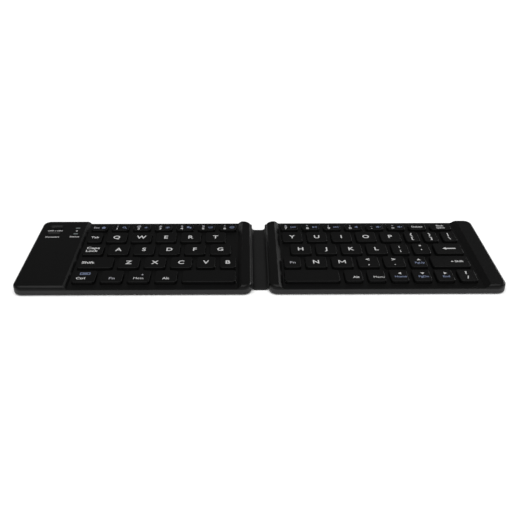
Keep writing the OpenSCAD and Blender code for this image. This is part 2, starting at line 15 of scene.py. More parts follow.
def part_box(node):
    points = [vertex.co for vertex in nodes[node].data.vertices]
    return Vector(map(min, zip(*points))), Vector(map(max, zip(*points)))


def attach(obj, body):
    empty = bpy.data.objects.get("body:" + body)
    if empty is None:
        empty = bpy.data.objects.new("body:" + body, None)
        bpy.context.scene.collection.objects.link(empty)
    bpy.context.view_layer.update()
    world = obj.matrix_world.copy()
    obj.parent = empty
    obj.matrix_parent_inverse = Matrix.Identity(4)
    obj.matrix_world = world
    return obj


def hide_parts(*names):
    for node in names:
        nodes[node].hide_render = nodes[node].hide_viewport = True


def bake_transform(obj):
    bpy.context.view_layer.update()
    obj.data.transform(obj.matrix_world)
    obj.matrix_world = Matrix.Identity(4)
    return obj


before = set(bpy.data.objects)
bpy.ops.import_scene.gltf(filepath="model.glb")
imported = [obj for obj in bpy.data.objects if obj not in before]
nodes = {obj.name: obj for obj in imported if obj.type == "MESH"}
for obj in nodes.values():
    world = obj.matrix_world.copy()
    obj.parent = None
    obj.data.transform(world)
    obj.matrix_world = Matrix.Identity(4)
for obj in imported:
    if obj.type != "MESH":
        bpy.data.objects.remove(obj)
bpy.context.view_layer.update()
MM = 0.001

# %% [markdown]
# The camera stands in front of the keyboard, a little higher than the length of a hand, and
# looks down at it by about 30 degrees. Its place was worked out from the outline and the key
# rows of the photograph, so a point of the frame falls on the pixel where the photograph shows
# it.

# %% Camera
CAMERA_PLACE = np.array([-8.39, -391.18, 226.44]) * MM
PITCH, YAW, ROLL = np.radians([29.699, 0.844, 0.231])
FOCAL_PIXELS, FRAME_PIXELS = 728.49, 510.0

forward = np.array(
    [
        math.sin(YAW) * math.cos(PITCH),
        math.cos(YAW) * math.cos(PITCH),
        -math.sin(PITCH),
    ]
)
level = np.array([math.cos(YAW), -math.sin(YAW), 0.0])
upward = np.cross(level, forward)
right = math.cos(ROLL) * level + math.sin(ROLL) * upward
up = -math.sin(ROLL) * level + math.cos(ROLL) * upward

camera_data = bpy.data.cameras.new("camera")
camera_data.sensor_fit = "AUTO"
camera_data.sensor_width = 36.0
camera_data.lens = 36.0 * FOCAL_PIXELS / FRAME_PIXELS
camera_data.clip_start = 0.01
camera_data.clip_end = 20.0
camera = bpy.data.objects.new("camera", camera_data)
bpy.context.scene.collection.objects.link(camera)
turn = Matrix([right, up, -forward]).transposed().to_4x4()
camera.matrix_world = Matrix.Translation(Vector(CAMERA_PLACE)) @ turn
bpy.context.scene.camera = camera
print("lens in mm:", round(camera_data.lens, 2))

# %% [markdown]
# The keyboard lies on a white sheet that fills the whole picture. A very wide soft sky lamp
# above the front gives nearly all the light, so the shadows fall behind the cases, and a narrow
# lamp low on the right draws the bright lines along the slopes that face it. A white surface
# renders just white. The camera sees the sky behind the sheet as white, but the sky itself adds
# only a little light.

# %% Floor and light
def grid_mesh(name, points):
    """A mesh from a grid of points: each cell of four neighbours is one face."""
    rows, cols = points.shape[:2]
    index = np.arange(rows * cols).reshape(rows, cols)
    near, far = index[:-1], index[1:]
    faces = np.stack([near[:, :-1], near[:, 1:], far[:, 1:], far[:, :-1]], -1)
    mesh = bpy.data.meshes.new(name)
    mesh.from_pydata(
        points.reshape(-1, 3).tolist(), [], faces.reshape(-1, 4).tolist()
    )
    return mesh


def place(name, mesh, *materials):
    """Puts a finished mesh into the scene as an object that sits at the origin."""
    for material in materials:
        mesh.materials.append(material)
    made = bpy.data.objects.new(name, mesh)
    bpy.context.scene.collection.objects.link(made)
    return made


side = np.linspace(-4.0, 4.0, 9)
sheet_x, sheet_y = np.meshgrid(side, side)
sheet_points = np.stack([sheet_x, sheet_y, np.zeros_like(sheet_x)], -1)
floor = place("floor", grid_mesh("floor", sheet_points))


def soft_lamp(name, at, towards, width, height, watts):
    """A rectangular lamp at one point that faces another."""
    lamp = bpy.data.lights.new(name, "AREA")
    lamp.shape = "RECTANGLE"
    lamp.size, lamp.size_y = width, height
    lamp.energy = watts
    made = bpy.data.objects.new(name, lamp)
    bpy.context.scene.collection.objects.link(made)
    aim = Vector(towards) - Vector(at)
    made.location = at
    made.rotation_euler = aim.to_track_quat("-Z", "Y").to_euler()
    return made


sky = bpy.data.lights.new("sky", "SUN")
sky.angle = math.radians(70)
sky.energy = 3.35
sky_lamp = bpy.data.objects.new("sky", sky)
sky_lamp.rotation_euler = (math.radians(22), math.radians(-4), 0.0)
bpy.context.scene.collection.objects.link(sky_lamp)
soft_lamp("edge", (1.30, 0.85, 0.25), (0.0, 0.0, 0.0), 0.9, 0.25, 9.0)

world = bpy.data.worlds.new("studio")
bpy.context.scene.world = world
world.use_nodes = True
backdrop = world.node_tree.nodes["Background"]
backdrop.inputs["Color"].default_value = (1, 1, 1, 1)
seen = world.node_tree.nodes.new("ShaderNodeLightPath").outputs["Is Camera Ray"]
level = world.node_tree.nodes.new("ShaderNodeMapRange")
level.inputs["To Min"].default_value = 0.10
level.inputs["To Max"].default_value = 1.0
world.node_tree.links.new(seen, level.inputs["Value"])
world.node_tree.links.new(level.outputs["Result"], backdrop.inputs["Strength"])
bpy.context.scene.view_settings.view_transform = "Standard"

# %% [markdown]
# Nearly every surface of this keyboard is moulded plastic or rubber: a colour that is almost
# even, a fine grain left by the mould, and places that hands have rubbed smooth. Three effects
# are shared by all of them, so each is a node group made once: the grain, a slow variation of
# the colour, and a mask on the highest places, where the finish turns smoother from rubbing and
# lighter as a painted highlight. The groups give values, and the shader stays in the material.

# %% Shared effects
def node_group(name, inputs, outputs):
    """An empty shader node group with named sockets, with its input node and its output node."""
    group = bpy.data.node_groups.new(name, "ShaderNodeTree")
    for label, kind, value in inputs:
        socket = group.interface.new_socket(label, in_out="INPUT", socket_type=kind)
        if value is not None:
            socket.default_value = value
    for label, kind in outputs:
        group.interface.new_socket(label, in_out="OUTPUT", socket_type=kind)
    return group, group.nodes.new("NodeGroupInput"), group.nodes.new("NodeGroupOutput")


def node(tree, kind, **values):
    """A node with some settings and inputs filled in. in_ before a socket's name means an
    input."""
    made = tree.nodes.new(kind)
    for key, value in values.items():
        if key.startswith("in_"):
            made.inputs[key[3:].replace("_", " ")].default_value = value
        else:
            setattr(made, key, value)
    return made


def math_node(tree, operation, a, b=None, clamp=False):
    """A Math node whose inputs are numbers or other nodes' outputs."""
    made = node(tree, "ShaderNodeMath", operation=operation, use_clamp=clamp)
    for socket, value in zip(made.inputs, (a, b)):
        if isinstance(value, (int, float)):
            socket.default_value = value
        elif value is not None:
            tree.links.new(value, socket)
    return made.outputs[0]


FLOAT, COLOUR, VECTOR = "NodeSocketFloat", "NodeSocketColor", "NodeSocketVector"

# The grain is two sizes of noise added together, and the coarser one also varies the roughness.
grain, grain_in, grain_out = node_group(
    "mould_grain",
    [("Place", VECTOR, None), ("Size", FLOAT, 0.0003), ("Roughness", FLOAT, 0.5)],
    [("Height", FLOAT), ("Roughness", FLOAT)],
)
per_metre = math_node(grain, "DIVIDE", 1.0, grain_in.outputs["Size"])
fine = node(grain, "ShaderNodeTexNoise", in_Detail=3.0, in_Roughness=0.6)
coarse = node(grain, "ShaderNodeTexNoise", in_Detail=2.0, in_Roughness=0.5)
grain.links.new(grain_in.outputs["Place"], fine.inputs["Vector"])
grain.links.new(grain_in.outputs["Place"], coarse.inputs["Vector"])
grain.links.new(per_metre, fine.inputs["Scale"])
grain.links.new(math_node(grain, "MULTIPLY", per_metre, 0.23), coarse.inputs["Scale"])
height = math_node(
    grain,
    "ADD",
    math_node(grain, "MULTIPLY", fine.outputs["Fac"], 0.6),
    math_node(grain, "MULTIPLY", coarse.outputs["Fac"], 0.4),
)
grain.links.new(height, grain_out.inputs["Height"])
swing = math_node(
    grain,
    "MULTIPLY",
    math_node(grain, "SUBTRACT", coarse.outputs["Fac"], 0.5),
    0.18,
)
grain.links.new(
    math_node(grain, "ADD", grain_in.outputs["Roughness"], swing, clamp=True),
    grain_out.inputs["Roughness"],
)

# The variation mixes the plastic's colour with a slightly lighter one, in clouds of a few
# centimetres, and sprinkles a few specks of dust on it.
tone, tone_in, tone_out = node_group(
    "tone",
    [
        ("Place", VECTOR, None),
        ("Colour", COLOUR, (0.01, 0.01, 0.01, 1)),
        ("Light colour", COLOUR, (0.02, 0.02, 0.02, 1)),
        ("Dust", FLOAT, 0.2),
    ],
    [("Colour", COLOUR)],
)
cloud = node(tone, "ShaderNodeTexNoise", in_Scale=45.0, in_Detail=4.0)
speck = node(tone, "ShaderNodeTexNoise", in_Scale=2600.0, in_Detail=1.0)
tone.links.new(tone_in.outputs["Place"], cloud.inputs["Vector"])
tone.links.new(tone_in.outputs["Place"], speck.inputs["Vector"])
clouds = node(tone, "ShaderNodeMix", data_type="RGBA")
tone.links.new(cloud.outputs["Fac"], clouds.inputs[0])
tone.links.new(tone_in.outputs["Colour"], clouds.inputs[6])
tone.links.new(tone_in.outputs["Light colour"], clouds.inputs[7])
dusty = node(tone, "ShaderNodeMix", data_type="RGBA")
specks = math_node(
    tone,
    "MULTIPLY",
    math_node(
        tone,
        "MULTIPLY",
        math_node(tone, "SUBTRACT", speck.outputs["Fac"], 0.7, clamp=True),
        8.0,
        clamp=True,
    ),
    tone_in.outputs["Dust"],
)
tone.links.new(specks, dusty.inputs[0])
tone.links.new(clouds.outputs[2], dusty.inputs[6])
dusty.inputs[7].default_value = (0.25, 0.25, 0.24, 1)
tone.links.new(dusty.outputs[2], tone_out.inputs["Colour"])

# The mask rises from 0 to 1 towards a height, broken up by noise: there the finish turns
# smoother, as rubbing makes it, and lighter, which is a painted highlight.
wear_and_sheen, wear_and_sheen_in, wear_and_sheen_out = node_group(
    "wear_and_sheen",
    [("Place", VECTOR, None), ("From", FLOAT, 0.006), ("To", FLOAT, 0.0065)],
    [("Mask", FLOAT)],
)
split = node(wear_and_sheen, "ShaderNodeSeparateXYZ")
wear_and_sheen.links.new(wear_and_sheen_in.outputs["Place"], split.inputs[0])
rise = node(wear_and_sheen, "ShaderNodeMapRange", interpolation_type="SMOOTHSTEP")
wear_and_sheen.links.new(split.outputs["Z"], rise.inputs["Value"])
wear_and_sheen.links.new(wear_and_sheen_in.outputs["From"], rise.inputs["From Min"])
wear_and_sheen.links.new(wear_and_sheen_in.outputs["To"], rise.inputs["From Max"])
broken = node(wear_and_sheen, "ShaderNodeTexNoise", in_Scale=160.0, in_Detail=4.0)
wear_and_sheen.links.new(wear_and_sheen_in.outputs["Place"], broken.inputs["Vector"])
wear_and_sheen.links.new(
    math_node(wear_and_sheen, "MULTIPLY", rise.outputs["Result"], broken.outputs["Fac"]),
    wear_and_sheen_out.inputs["Mask"],
)
print("groups:", [g.name for g in bpy.data.node_groups])

# %% [markdown]
# One maker serves all the moulded finishes. It joins the groups to a Principled shader: tone
# gives the colour, grain the bump and the roughness, and the mask of the highest places makes
# them a little smoother, as rubbing does, and lighter, which is a painted highlight. Specular
# level and metallic are the same all over, so they are set on the shader itself.

# %% Moulded finishes
def grey(value, warm=0.0, blue=0.0):
    """A linear colour near grey."""
    return (value * (1 + warm), value, value * (1 + blue), 1.0)


def moulded(
    name,
    colour,
    light,
    roughness,
    specular=0.2,
    grain_size=0.00025,
    grain_depth=0.00002,
    dust=0.15,
    wear_sheen_heights=None,
    metallic=0.0,
):
    """A moulded or sheet material. The pair of heights, if given, is where the finish turns
    smoother, as rubbing makes it, and lighter, which is a painted highlight."""
    material = bpy.data.materials.new(name)
    material.use_nodes = True
    tree = material.node_tree
    shader = tree.nodes["Principled BSDF"]
    shader.inputs["Specular IOR Level"].default_value = specular
    shader.inputs["Metallic"].default_value = metallic
    where = node(tree, "ShaderNodeTexCoord").outputs["Object"]
    toned = node(tree, "ShaderNodeGroup", node_tree=tone, in_Dust=dust)
    toned.inputs["Colour"].default_value = colour
    toned.inputs["Light colour"].default_value = light
    grained = node(tree, "ShaderNodeGroup", node_tree=grain, in_Size=grain_size)
    grained.inputs["Roughness"].default_value = roughness
    tree.links.new(where, toned.inputs["Place"])
    tree.links.new(where, grained.inputs["Place"])
    colour_out, rough_out = toned.outputs["Colour"], grained.outputs["Roughness"]
    # The highest places take the light colour, a painted highlight, and a smoother gloss.
    if wear_sheen_heights:
        wear_sheen_mask = node(
            tree, "ShaderNodeGroup", node_tree=wear_and_sheen, in_From=wear_sheen_heights[0], in_To=wear_sheen_heights[1]
        )
        tree.links.new(where, wear_sheen_mask.inputs["Place"])
        blend = node(tree, "ShaderNodeMix", data_type="RGBA")
        tree.links.new(wear_sheen_mask.outputs["Mask"], blend.inputs[0])
        tree.links.new(colour_out, blend.inputs[6])
        blend.inputs[7].default_value = light
        colour_out = blend.outputs[2]
        rough_out = math_node(
            tree,
            "SUBTRACT",
            rough_out,
            math_node(tree, "MULTIPLY", wear_sheen_mask.outputs["Mask"], 0.12),
            clamp=True,
        )
    bump = node(tree, "ShaderNodeBump", in_Strength=1.0, in_Distance=grain_depth)
    tree.links.new(grained.outputs["Height"], bump.inputs["Height"])
    tree.links.new(bump.outputs["Normal"], shader.inputs["Normal"])
    tree.links.new(colour_out, shader.inputs["Base Color"])
    tree.links.new(rough_out, shader.inputs["Roughness"])
    return material


# The case and the keys are painted lighter on their highest places: a painted highlight on the
# tops.
case_black = moulded(
    "case_black", grey(0.0024), grey(0.0036), 0.42, 0.13, dust=0.08, wear_sheen_heights=(0.0060, 0.0066)
)
# The colour of the edge rounding is five times lighter than the case: a painted highlight along
# the edges.
edge_painted_highlight = moulded("edge_painted_highlight", grey(0.012), grey(0.018), 0.34, 0.45)
shell_grey = moulded(
    "shell_grey", grey(0.016, 0, 0.02), grey(0.022, 0, 0.02), 0.5, 0.22
)
key_black = moulded(
    "key_black",
    grey(0.0026),
    grey(0.0038),
    0.5,
    0.10,
    grain_size=0.0002,
    grain_depth=0.00001,
    dust=0.06,
    wear_sheen_heights=(0.0060, 0.0062),
)
strip_rubber = moulded(
    "strip_rubber", grey(0.0065), grey(0.0095), 0.62, 0.16, grain_size=0.0004, dust=0.12
)
foot_rubber = moulded(
    "foot_rubber", grey(0.02), grey(0.03), 0.8, 0.2, grain_size=0.0006, dust=0.4
)
dome_rubber = moulded("dome_rubber", grey(0.35), grey(0.42), 0.7, 0.3, dust=0.05)
steel = moulded(
    "steel", grey(0.42), grey(0.52), 0.34, 0.5, grain_size=0.0008, metallic=1.0
)
screw_steel = moulded(
    "screw_steel", grey(0.30), grey(0.40), 0.3, 0.5, grain_size=0.0003, metallic=1.0
)
magnet_nickel = moulded(
    "magnet_nickel", grey(0.5, 0.03), grey(0.6, 0.03), 0.22, 0.5, metallic=1.0
)
film = moulded(
    "film", (0.16, 0.17, 0.16, 1), (0.2, 0.21, 0.2, 1), 0.35, 0.4, grain_size=0.001
)
board_green = moulded(
    "board_green", (0.012, 0.05, 0.03, 1), (0.02, 0.07, 0.04, 1), 0.4, 0.4
)
cell_foil = moulded(
    "cell_foil", grey(0.35, 0.02), grey(0.45, 0.02), 0.38, 0.5, metallic=0.6
)
switch_body = moulded("switch_body", grey(0.03), grey(0.04), 0.45, 0.4)
print("finishes:", len(bpy.data.materials))

# %% [markdown]
# The two windows are small lenses of smoked plastic with a gloss. The chips under them are
# white blocks. The flat cable is dark film through which its copper lines just show, drawn by a
# wave across its width.

# %% Lenses, chips and the flat cable
window_smoke = moulded(
    "window_smoke",
    (0.10, 0.12, 0.12, 1),
    (0.16, 0.18, 0.18, 1),
    0.12,
    0.6,
    grain_size=0.002,
    grain_depth=0.000002,
    dust=0.05,
)
chip_white = moulded("chip_white", (0.6, 0.6, 0.5, 1), (0.7, 0.7, 0.6, 1), 0.4, 0.4)

cable_film = bpy.data.materials.new("cable_film")
cable_film.use_nodes = True
tree = cable_film.node_tree
shader = tree.nodes["Principled BSDF"]
shader.inputs["Specular IOR Level"].default_value = 0.4
wave = node(tree, "ShaderNodeTexWave", bands_direction="Y", in_Scale=160.0)
copper = node(tree, "ShaderNodeMix", data_type="RGBA")
copper.inputs[6].default_value = (0.010, 0.007, 0.005, 1)
copper.inputs[7].default_value = (0.030, 0.018, 0.010, 1)
tree.links.new(node(tree, "ShaderNodeTexCoord").outputs["Object"], wave.inputs[0])
tree.links.new(wave.outputs["Fac"], copper.inputs[0])
tree.links.new(copper.outputs[2], shader.inputs["Base Color"])
tree.links.new(
    math_node(tree, "ADD", math_node(tree, "MULTIPLY", wave.outputs["Fac"], 0.2), 0.3),
    shader.inputs["Roughness"],
)

# %% [markdown]
# The CAD pieces whose shape is right stay as they are, and only get their finish.

# %% Finishes of the CAD pieces
FINISH = {
    case_black: "left_top_cover right_top_cover power_slider connect_button",
    shell_grey: "left_bottom_shell right_bottom_shell",
    key_black: " ".join(n for n in nodes if n.startswith("key")),
    strip_rubber: "hinge_strip_left hinge_strip_middle hinge_strip_right",
    foot_rubber: "left_feet right_feet",
    dome_rubber: "left_rubber_domes right_rubber_domes",
    steel: "left_support_plate right_support_plate usb_socket",
    screw_steel: "left_screws right_screws",
    magnet_nickel: "left_magnet right_magnet",
    film: "left_membrane right_membrane",
    board_green: "main_board",
    cell_foil: "battery",
    switch_body: "slide_switch tact_switch",
    window_smoke: "led_windows",
    chip_white: "led_chips",
    cable_film: "flex_cable_left flex_cable_middle flex_cable_right",
}
for material, names in FINISH.items():
    for name in names.split():
        nodes[name].data.materials.clear()
        nodes[name].data.materials.append(material)
# The covers' edges are rounded a little, and the rounding takes a finish of its own: glossier,
# so it catches the lamp, and lighter in colour, which is a painted highlight along the edges.
for name in ("left_top_cover", "right_top_cover"):
    nodes[name].data.materials.append(edge_painted_highlight)
    weld = nodes[name].modifiers.new("weld", "WELD")
    weld.merge_threshold = 0.005 * MM
    rounding = nodes[name].modifiers.new("rounding", "BEVEL")
    rounding.width = 0.35 * MM
    rounding.segments = 2
    rounding.limit_method = "ANGLE"
    rounding.angle_limit = math.radians(28)
    rounding.material = 1
dressed = {name for names in FINISH.values() for name in names.split()}
print("dressed:", len(dressed), "of", len(nodes), sorted(set(nodes) - dressed))

paper = bpy.data.materials.new("paper")
paper.use_nodes = True
paper_shader = paper.node_tree.nodes["Principled BSDF"]
paper_shader.inputs["Base Color"].default_value = (0.98, 0.98, 0.98, 1)
paper_shader.inputs["Roughness"].default_value = 1.0
paper_shader.inputs["Specular IOR Level"].default_value = 0.0
floor.data.materials.append(paper)

# %% [markdown]
# The keys stand in five rows on each case. A row is written as its first edge and the widths of
# its keys, with the same gap between them, exactly as the frame has them. Each entry then gives
# the frame's node, the row, the places in that row and what is printed on each key.

# %% Key layout in millimetres
GAP = 3.0
ROW_KEYS = ["key_escape", "key_tab", "key_caps_lock", "key_left_shift", "key_ctrl"]
ROWS_Y = {
    row: (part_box(name)[0].y / MM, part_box(name)[1].y / MM)
    for row, name in enumerate(ROW_KEYS, 1)
}


def row_edges(start, widths):
    """The left and right edges of keys of these widths, one gap apart, from a first edge."""
    widths = np.array(widths)
    left = start + np.concatenate([[0.0], np.cumsum(widths + GAP)[:-1]])
    return np.stack([left, left + widths], -1)


LEFT = {
    1: row_edges(-108.6, [10.1] + [11.0] * 6),
    2: row_edges(-108.6, [8.85] + [12.7] * 5),
    3: row_edges(-108.6, [12.35] + [12.7] * 5),
    4: row_edges(-108.6, [20.75, 12.7, 12.7, 12.7, 11.0, 9.45]),
    5: row_edges(-108.6, [13.15, 12.7, 12.7, 12.7, 31.05]),
}
RIGHT = {
    1: row_edges(14.5, [11.0] * 7 + [13.5]),
    2: row_edges(14.95, [12.7] * 5 + [8.85] * 3),
    3: row_edges(19.35, [12.7] * 4 + [10.3, 10.3, 17.25]),
    4: row_edges(14.6, [9.95] + [12.7] * 4 + [9.95, 22.7]),
    5: row_edges(14.3, [31.9] + [10.3] * 6),
}
KEYS = {
    "key_escape": (LEFT, 1, 0, ["Esc"]),
    "keys_1_to_6": (LEFT, 1, 1, ["1!", "2@", "3#", "4$", "5%", "6^"]),
    "key_tab": (LEFT, 2, 0, ["Tab"]),
    "keys_q_to_t": (LEFT, 2, 1, list("QWERT")),
    "key_caps_lock": (LEFT, 3, 0, ["Caps/Lock"]),
    "keys_a_to_g": (LEFT, 3, 1, list("ASDFG")),
    "key_left_shift": (LEFT, 4, 0, ["Shift"]),
    "keys_z_to_b": (LEFT, 4, 1, list("ZXCVB")),
    "key_ctrl": (LEFT, 5, 0, ["Ctrl"]),
    "key_left_fn": (LEFT, 5, 1, ["Fn"]),
    "key_super": (LEFT, 5, 2, ["Meta"]),
    "key_left_alt": (LEFT, 5, 3, ["Alt"]),
    "key_left_space": (LEFT, 5, 4, [""]),
    "keys_7_to_delete": (RIGHT, 1, 0, ["7&", "8*", "9(", "0)", "-_", "=+", "Delete"]),
    "key_backspace": (RIGHT, 1, 7, ["Back/space"]),
    "keys_y_to_backslash": (RIGHT, 2, 0, list("YUIOP") + ["[{", "]}", "\\|"]),
    "keys_h_to_quote": (RIGHT, 3, 0, list("HJKL") + [";:", "'\""]),
    "key_enter": (RIGHT, 3, 6, ["enter"]),
    "key_right_fn": (RIGHT, 4, 0, ["Fn"]),
    "keys_n_to_period": (RIGHT, 4, 1, ["N", "M", ",<", ".>"]),
    "key_page_up": (RIGHT, 4, 5, ["PgUp"]),
    "key_right_shift": (RIGHT, 4, 6, ["Shift"]),
    "key_right_space": (RIGHT, 5, 0, [""]),
    "key_right_alt": (RIGHT, 5, 1, ["Alt"]),
    "key_menu": (RIGHT, 5, 2, ["Menu"]),
    "key_home": (RIGHT, 5, 3, ["Home"]),
    "key_page_down": (RIGHT, 5, 4, ["PgDn"]),
    "key_end": (RIGHT, 5, 5, ["End"]),
    "key_question": (RIGHT, 5, 6, ["/?"]),
}


def key_spots(name):
    """The (x0, x1, y0, y1) of each key of a node, and its print."""
    half, row, first, prints = KEYS[name]
    y0, y1 = ROWS_Y[row]
    return [(*half[row][first + i], y0, y1, text) for i, text in enumerate(prints)]


for name in KEYS:
    low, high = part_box(name)
    spots = key_spots(name)
    off = max(
        abs(low.x / MM - spots[0][0]),
        abs(high.x / MM - spots[-1][1]),
        abs(low.y / MM - spots[0][2]),
        abs(high.y / MM - spots[0][3]),
    )
    if off > 0.06:
        print("layout differs from the frame:", name, round(off, 3))
print("keys:", sum(len(key_spots(n)) for n in KEYS))

# %% [markdown]
# A key cap is a thin moulded tile: a rounded rectangle with upright sides, a soft rim, and a
# top that is very slightly dished so that the finger finds its middle. Its underside is hollow
# and takes the rubber dome. All of that is one profile carried round the outline, so the cap is
# a stack of rings: each ring is the outline moved inwards by some amount at some height. The
# two end rings close on a middle point.

# %% Key caps
KEY_TOP, KEY_FOOT, KEY_RADIUS, RIM, DISH = 6.15, 3.5, 1.8, 0.42, 0.14
CEILING, SKIRT = 5.15, 0.8


CORNER_STEPS = 5


def outline(width, depth, radius):
    """Points of a rounded rectangle about the origin: at each corner an arc of the given radius,
    from its start angle through a quarter turn."""
    quarter = np.linspace(0, np.pi / 2, CORNER_STEPS + 1)
    angles = (np.arange(4)[:, None] * np.pi / 2 + quarter).ravel()
    sx = np.repeat([1, -1, -1, 1], CORNER_STEPS + 1)
    sy = np.repeat([1, 1, -1, -1], CORNER_STEPS + 1)
    return np.stack(
        [
            sx * (width / 2 - radius) + radius * np.cos(angles),
            sy * (depth / 2 - radius) + radius * np.sin(angles),
        ],
        -1,
    )


def dish_drop(u, v):
    """How far the top lies under its rim: the full drop in the middle, and none where either of
    the two coordinates, which run from -1 to 1 across the cap, reaches the rim."""
    return DISH * (1 - np.clip(np.maximum(u * u, v * v), 0, 1))


def cap_rings(width, depth):
    """Rings from the middle of the top to the rim, down the sides, and under the skirt to the
    ceiling."""
    flat = outline(width - 2 * RIM, depth - 2 * RIM, KEY_RADIUS - RIM)
    rings = []
    for share in (0.25, 0.5, 0.72, 0.88, 0.97):
        ring = flat * share
        drop = dish_drop(np.full(len(ring), share), 0.0)
        rings.append(np.column_stack([ring, KEY_TOP - drop]))
    for turn_angle in np.linspace(0, np.pi / 2, 6):
        inward = RIM * (1 - np.sin(turn_angle))
        ring = outline(width - 2 * inward, depth - 2 * inward, KEY_RADIUS - inward)
        z = KEY_TOP - RIM * (1 - np.cos(turn_angle))
        rings.append(np.column_stack([ring, np.full(len(ring), z)]))
    for inward, z in (
        (0.0, KEY_FOOT),
        (SKIRT, KEY_FOOT),
        (SKIRT, CEILING),
        (SKIRT + 1.2, CEILING),
    ):
        ring = outline(
            width - 2 * inward, depth - 2 * inward, max(KEY_RADIUS - inward, 0.3)
        )
        rings.append(np.column_stack([ring, np.full(len(ring), z)]))
    return np.array(rings)


def cap_mesh(spots):
    """Vertices and faces of all caps of one node. Each cap is closed at both ends by a fan."""
    vertices, faces = [], []
    start = 0
    for x0, x1, y0, y1, _ in spots:
        rings = cap_rings(x1 - x0, y1 - y0)
        count, around = rings.shape[:2]
        middle = [(x0 + x1) / 2, (y0 + y1) / 2, 0.0]
        poles = np.array([[0, 0, KEY_TOP - DISH], [0, 0, CEILING]])
        points = np.concatenate([rings.reshape(-1, 3), poles]) + middle
        index = np.arange(count * around).reshape(count, around) + start
        after = np.roll(index, -1, 1)
        quads = np.stack([index[:-1], index[1:], after[1:], after[:-1]], -1)
        top, under = start + count * around, start + count * around + 1
        fan_top = np.stack([np.full(around, top), index[0], after[0]], -1)
        fan_under = np.stack([np.full(around, under), after[-1], index[-1]], -1)
        vertices.append(points)
        faces += quads.reshape(-1, 4).tolist()
        faces += fan_top.tolist() + fan_under.tolist()
        start += len(points)
    return np.concatenate(vertices) * MM, faces


def smooth_by_angle(mesh, degrees=35):
    """Shades the mesh smooth, with sharp edges where two faces meet at more than the angle."""
    mesh.polygons.foreach_set("use_smooth", [True] * len(mesh.polygons))
    mesh.set_sharp_from_angle(angle=math.radians(degrees))


cap_faces = 0
for name in KEYS:
    points, faces = cap_mesh(key_spots(name))
    mesh = bpy.data.meshes.new(name + "_cap")
    mesh.from_pydata(points.tolist(), [], faces)
    smooth_by_angle(mesh, 50)
    cap = place(name + "_cap", mesh, key_black)
    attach(cap, name)
    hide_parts(name)
    cap_faces += len(faces)
print("cap faces:", cap_faces)

# %% [markdown]
# The legends are printed in white and pale blue ink. Blender's own font gives the letters: a
# text object is turned into flat triangles, measured, and scaled so that its capitals have the
# wanted height. Icons are small polygons. Everything printed on a node's keys is gathered into
# one film of ink that follows the dished tops.

# %% Ink
def ink(name, colour, light, roughness=0.5):
    """Printed ink, slightly uneven, with a fine grain."""
    return moulded(
        name,
        colour,
        light,
        roughness,
        0.25,
        grain_size=0.00012,
        grain_depth=0.000004,
        dust=0.0,
    )


ink_white = ink("ink_white", (0.45, 0.45, 0.45, 1), (0.53, 0.53, 0.53, 1))
ink_blue = ink("ink_blue", (0.12, 0.145, 0.22, 1), (0.16, 0.19, 0.28, 1))
ink_grey = ink("ink_grey", (0.24, 0.24, 0.26, 1), (0.30, 0.30, 0.32, 1))
INKS = [ink_white, ink_blue, ink_grey]
WHITE, BLUE, GREY = 0, 1, 2

# %% Letters and icons as flat triangles
letters_made = {}


def flat_text(text, weight=0.02):
    """The text as flat triangles in the font's own units. The weight moves the outline out. The
    font's M has hair-thin notches that this would turn inside out, so text with an M keeps its
    plain outline."""
    if "M" in text:
        weight = 0.0
    if (text, weight) not in letters_made:
        curve = bpy.data.curves.new("letters", "FONT")
        curve.body = text
        curve.offset = weight
        curve.resolution_u = 4
        holder = bpy.data.objects.new("letters", curve)
        bpy.context.scene.collection.objects.link(holder)
        bpy.context.view_layer.update()
        mesh = bpy.data.meshes.new_from_object(
            holder.evaluated_get(bpy.context.evaluated_depsgraph_get())
        )
        co = np.zeros(len(mesh.vertices) * 3)
        mesh.vertices.foreach_get("co", co)
        mesh.calc_loop_triangles()
        triangles = np.zeros(len(mesh.loop_triangles) * 3, int)
        mesh.loop_triangles.foreach_get("vertices", triangles)
        co = co.reshape(-1, 3)[:, :2]
        bpy.data.objects.remove(holder)
        bpy.data.curves.remove(curve)
        bpy.data.meshes.remove(mesh)
        letters_made[(text, weight)] = co, triangles.reshape(-1, 3)
    return letters_made[(text, weight)]


capital, _ = flat_text("H", 0.0)
CAPITAL = np.ptp(capital[:, 1])
print("height of a capital in the font:", round(float(CAPITAL), 3))


def text_at(text, x, y, cap, align="middle", weight=0.02, stretch=1.0):
    """Text with capitals of the given height. Its middle or one end is at x, and the middle of
    its capitals at y."""
    co, triangles = flat_text(text, weight)
    scale = cap / CAPITAL
    out = co * [scale * stretch, scale]
    shift = {
        "middle": -(out[:, 0].min() + out[:, 0].max()) / 2,
        "left": -out[:, 0].min(),
        "right": -out[:, 0].max(),
    }[align]
    return out + [x + shift, y - cap / 2], triangles


def polygon(points, x, y, size):
    """A convex polygon from points in units of its size."""
    points = np.array(points, float) * size + [x, y]
    order = np.arange(1, len(points) - 1)
    return points, np.stack([np.zeros_like(order), order, order + 1], -1)


def disc(x, y, radius, count=16):
    """A filled circle."""
    angle = np.linspace(0, 2 * np.pi, count, endpoint=False)
    return polygon(np.stack([np.cos(angle), np.sin(angle)], -1), x, y, radius)


def ring(x, y, radius, width, count=24):
    """A circular band: each cell is two triangles."""
    angle = np.linspace(0, 2 * np.pi, count)
    inner = np.stack([np.cos(angle), np.sin(angle)], -1) * (radius - width)
    outer = np.stack([np.cos(angle), np.sin(angle)], -1) * radius
    points = np.concatenate([outer, inner]) + [x, y]
    i = np.arange(count - 1)
    first = np.stack([i, i + 1, i + count], -1)
    second = np.stack([i + 1, i + count + 1, i + count], -1)
    return points, np.concatenate([first, second])


def bar(x0, y0, x1, y1):
    """A filled rectangle between two corners."""
    return polygon([(x0, y0), (x1, y0), (x1, y1), (x0, y1)], 0, 0, 1)


